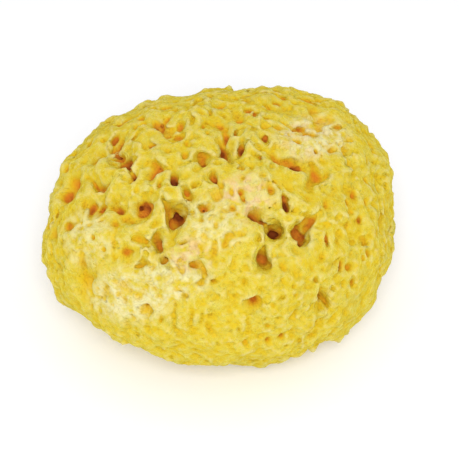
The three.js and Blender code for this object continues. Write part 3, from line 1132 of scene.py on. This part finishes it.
def colour(red: int, green: int, blue: int) -> tuple[float, float, float, float]:
    """A colour as it shows on a screen, 0 to 255 each, as the linear light that a shader takes."""
    shares = np.array((red, green, blue)) / 255.0
    linear = np.where(shares <= 0.04045, shares / 12.92, ((shares + 0.055) / 1.055) ** 2.4)
    return (*(float(v) for v in linear), 1.0)


class Tint(Enum):
    """The skeleton's colours, from its pale ridges, partly painted light, to its canal bottoms, partly painted
    shade.
    """

    CREAM = colour(226, 217, 160)
    LEMON = colour(226, 214, 90)
    YELLOW = colour(226, 202, 44)
    GOLD = colour(218, 184, 30)
    BARK = colour(204, 174, 40)
    OCHRE = colour(216, 164, 30)
    # Rust and umber are the canals' deeper pigment, darkened further as painted shade.
    SHADED_RUST = colour(206, 120, 36)
    SHADED_UMBER = colour(124, 48, 22)
    BLUSH = colour(228, 190, 148)
    MOSS = colour(206, 199, 94)


@dataclass(frozen=True)
class Patch:
    """A soft-edged patch where the sponge is seen: its middle and half sizes in millimetres, its strength."""

    across: float
    up: float
    wide: float
    tall: float
    strength: float


@dataclass(frozen=True)
class Wash:
    """A tint that is laid on as a reading goes from a start to where the wash is full."""

    tint: Tint
    start: float
    full: float
    strength: float = 1.0


@dataclass(frozen=True)
class Mottle:
    """Cloudy noise that breaks a wash up: the size of its blots, and where it starts and is full."""

    size: float
    start: float
    full: float


@dataclass(frozen=True)
class SkeletonFinish:
    """The finish of dry sponge skeleton: matt, blotched, darker down its canals, partly its own deeper pigment
    and partly painted shade, and it may glow.

    A share beneath of the skin's own tint gives way to a deeper one, for what lies under the felt.
    """

    name: str
    beneath: float
    glow: float
    roughness: float = 0.95
    specular: float = 0.12
    glow_scale: float = 0.8 * MM
    glow_reach: tuple[float, float, float] = (1.0, 0.6, 0.2)
    blot_size: float = 3.4 * MM
    grain_size: float = 1.2 * MM
    fuzz_size: float = 0.5 * MM
    fuzz: float = 0.6
    grain: float = 0.6
    grain_height: float = 0.4 * MM
    level_faced: float = 0.43
    hue_weight: float = 0.25
    grain_weight: float = 0.3
    faced_weight: float = 2.4
    blot_weight: float = 0.2
    deep_weight: float = 0.6
    deep_range: tuple[float, float] = (0.6, 3.2)
    fine_sunk: float = 0.7
    full_reach: float = 0.2
    gone_reach: float = 1.6
    lemon: Wash = Wash(Tint.LEMON, 0.36, 0.60)
    moss: Wash = Wash(Tint.MOSS, 0.50, 0.66, 0.5)
    moss_size: float = 7 * MM
    cream_mottle: Mottle = Mottle(3 * MM, 0.30, 0.62)
    blush_mottle: Mottle = Mottle(3.6 * MM, 0.42, 0.60)
    blush_strength: float = 0.8
    # Cream on crests and gold in creases: partly the sponge's own tone, partly painted highlight and shade.
    tone_and_light_washes: tuple[Wash, ...] = (Wash(Tint.CREAM, 0.50, 0.26, 0.5), Wash(Tint.GOLD, 0.46, 0.68, 0.8))
    # Gold to umber down the canals and pits: partly the sponge's deeper pigment, partly painted shade.
    pigment_and_shade_washes: tuple[Wash, ...] = (
        Wash(Tint.GOLD, 0.10, 0.45, 0.55),
        Wash(Tint.OCHRE, 0.38, 0.82, 0.8),
        Wash(Tint.SHADED_RUST, 0.66, 1.12, 0.9),
        Wash(Tint.SHADED_UMBER, 1.05, 1.40, 0.85),
    )
    cream: tuple[Patch, ...] = (
        Patch(-34, -28, 17, 11, 1.0),
        Patch(-17, -21, 14, 9, 0.9),
        Patch(-2, 0, 13, 11, 0.8),
        Patch(37, 34, 14, 9, 1.0),
        Patch(-51, -6, 10, 11, 0.7),
        Patch(12, 12, 12, 8, 0.5),
    )
    blush: tuple[Patch, ...] = (
        Patch(10, 10, 11, 9, 0.8),
        Patch(-11, -13, 8, 7, 0.8),
        Patch(34, 32, 12, 8, 0.4),
    )

    def _patches(self, s: Shading, place: Socket, patches: Sequence[Patch], mottle: Mottle) -> Socket:
        """How strongly each point is in any of the patches, from 0 to 1, broken up by a mottle.

        The reach is the squared distance from a patch's middle in half sizes. The patch is full within the
        reach full_reach and gone beyond gone_reach.

        Args:
            s: The material's nodes.
            place: The point's place.
            patches: The patches.
            mottle: What breaks them up.

        Returns:
            The share.
        """
        across, up = s.attribute("seen_across"), s.attribute("seen_up")
        total: Any = 0.0
        for p in patches:
            reach = ((across - p.across) / p.wide) ** 2.0 + ((up - p.up) / p.tall) ** 2.0
            total = reach.ramp(self.gone_reach, self.full_reach) * p.strength + total
        return total.clamp() * s.noise(place, mottle.size).ramp(mottle.start, mottle.full)

    def _washed(self, s: Shading, skin: Any, reading: Socket, washes: Sequence[Wash]) -> Socket:
        """Lays washes on the skin by one reading, in their order.

        Args:
            s: The material's nodes.
            skin: The tint so far.
            reading: What the washes go by.
            washes: The washes.

        Returns:
            The tint with them.
        """
        for wash in washes:
            skin = s.mix(reading.ramp(wash.start, wash.full) * wash.strength, skin, wash.tint.value)
        return skin

    def material(self) -> bpy.types.Material:
        """Builds the material.

        How far a point is sunk is the weighed sum of its shelter, the blots and its depth, of which fine
        skeleton counts a share fine_sunk. The washes by openness paint paler crests and darker creases, and
        those by how far a point is sunk paint shade down the canals; both are partly the sponge's own tones.

        Returns:
            The material.
        """
        s = Shading(self.name)
        place = s.node("ShaderNodeTexCoord", {}, (), "Object")
        blots, grain = s.noise(place, self.blot_size), s.noise(place, self.grain_size, 3.0, 0.6)
        mood = blots + (s.attribute("hue") - 0.5) * self.hue_weight
        skin = self._washed(s, Tint.YELLOW.value, mood, [self.lemon])
        skin = self._washed(s, skin, s.noise(place, self.moss_size), [self.moss])
        skin = s.mix(self.beneath, skin, Tint.BARK.value)
        blush = self._patches(s, place, self.blush, self.blush_mottle) * self.blush_strength
        skin = s.mix(self._patches(s, place, self.cream, self.cream_mottle), skin, Tint.CREAM.value)
        skin = s.mix(blush, skin, Tint.BLUSH.value)
        # Painted light and shade with the sponge's own tone: paler crests where little skeleton stands round a
        # point, gold in creases.
        openness = s.attribute("near") + (grain - 0.5) * self.grain_weight
        skin = self._washed(s, skin, openness, self.tone_and_light_washes)
        # Painted shade down sheltered canals and pits, deepening to rust and umber, along with the sponge's
        # deeper pigment there.
        sunk = (s.attribute("faced") - self.level_faced) * self.faced_weight
        sunk = sunk + (blots - 0.5) * self.blot_weight
        sunk = sunk + s.attribute("deep").ramp(*self.deep_range) * self.deep_weight
        sunk = sunk * (s.attribute("coarse") * (1.0 - self.fine_sunk) + self.fine_sunk)
        skin = self._washed(s, skin, sunk, self.pigment_and_shade_washes)
        height = grain + s.noise(place, self.fuzz_size) * self.fuzz
        relief = {"Strength": self.grain, "Distance": self.grain_height, "Height": height}
        return s.matt({
            "Base Color": skin,
            "Roughness": self.roughness,
            "Specular IOR Level": self.specular,
            "Subsurface Weight": self.glow,
            "Subsurface Scale": self.glow_scale,
            "Subsurface Radius": self.glow_reach,
            "Normal": s.node("ShaderNodeBump", {}, relief, "Normal"),
        })


@dataclass(frozen=True)
class FloorFinish:
    """The finish of the floor: matt and nearly white."""

    tint: tuple[float, float, float, float] = (0.97, 0.975, 1.0, 1.0)
    roughness: float = 0.9
    specular: float = 0.1

    def material(self) -> bpy.types.Material:
        """Builds the material."""
        values = {"Base Color": self.tint, "Roughness": self.roughness, "Specular IOR Level": self.specular}
        return Shading("floor").matt(values)


SKIN_FINISH = SkeletonFinish("sponge_skeleton", beneath=0.6, glow=0.15)
FELT_FINISH = SkeletonFinish("sponge_felt", beneath=0.0, glow=0.0)
FLOOR_FINISH = FloorFinish()


@dataclass
class Studio:
    """A plain pale floor, a white dome of light, one soft lamp above the camera, and the camera itself."""

    sight: Sight
    floor_half: float = 1.6
    floor_drop: float = 0.15 * MM
    dome: float = 0.73
    lamp_power: float = 6.9
    lamp_size: float = 0.5
    lamp_place: tuple[float, float, float] = (0.02, -0.66, 0.92)
    sensor: float = 36.0
    lens: float = 89.85
    clip: tuple[float, float] = (0.01, 20.0)
    image: tuple[int, int] = (459, 456)
    heart_seen: tuple[float, float] = (220.4, 223.5)

    def build(self) -> None:
        """Builds the floor, the light and the camera."""
        self._floor()
        self._dome()
        self._lamp()
        self._camera()
        bpy.context.scene.view_settings.view_transform = "Standard"

    def _floor(self) -> None:
        """A level square of pale floor under the sponge."""
        half = self.floor_half
        corners = [(-half, -half, 0), (half, -half, 0), (half, half, 0), (-half, half, 0)]
        mesh = bpy.data.meshes.new("floor")
        mesh.from_pydata([(x, y, z - self.floor_drop) for x, y, z in corners], [], [(0, 1, 2, 3)])
        mesh.materials.append(FLOOR_FINISH.material())
        placed("floor", mesh)

    def _dome(self) -> None:
        """Even white light from all round."""
        world = bpy.data.worlds.new("dome")
        world.use_nodes = True
        background = world.node_tree.nodes["Background"]
        background.inputs["Color"].default_value = (1.0, 1.0, 1.0, 1.0)
        background.inputs["Strength"].default_value = self.dome
        bpy.context.scene.world = world

    def _lamp(self) -> None:
        """One wide soft lamp, above and behind the camera, that looks at the heart."""
        lamp = bpy.data.lights.new("lamp", "AREA")
        lamp.energy = self.lamp_power
        lamp.size = self.lamp_size
        holder = placed("lamp", lamp)
        away = Vector(self.lamp_place) - Vector(self.sight.heart)
        turn = away.to_track_quat("Z", "Y").to_matrix().to_4x4()
        holder.matrix_world = Matrix.Translation(Vector(self.lamp_place)) @ turn

    def _camera(self) -> None:
        """The camera, looking along the line of sight, set aside to see the heart where the photo has it."""
        data = bpy.data.cameras.new("camera")
        data.sensor_width = self.sensor
        data.lens = self.lens
        data.clip_start, data.clip_end = self.clip
        pixel = self.sight.distance * self.sensor / self.lens / self.image[0]
        aside = (self.image[0] / 2 - self.heart_seen[0]) * pixel
        under = (self.image[1] / 2 - self.heart_seen[1]) * pixel
        place = self.sight.eye + self.sight.right * aside - self.sight.up * under
        camera = placed("camera", data)
        turn = Matrix(np.stack([self.sight.right, self.sight.up, self.sight.to_eye], axis=1).tolist())
        camera.matrix_world = Matrix.Translation(Vector(place)) @ turn.to_4x4()
        bpy.context.scene.camera = camera


def main() -> None:
    """Builds the studio and the sponge, and rides the sponge on its body."""
    logging.basicConfig(level=logging.INFO, format="%(name)s: %(message)s")
    sight = Sight()
    Studio(sight).build()
    skeleton = Skeleton(sight)
    skin = skeleton.build()
    skin.data.materials.append(SKIN_FINISH.material())
    felt = Felt(skeleton).build(skin)
    felt_finish = FELT_FINISH.material()
    for piece in felt:
        piece.data.materials.append(felt_finish)
    for piece in [skin, *felt]:
        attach(piece, BODY)
        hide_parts(NODE)


if __name__ == "__main__":
    main()
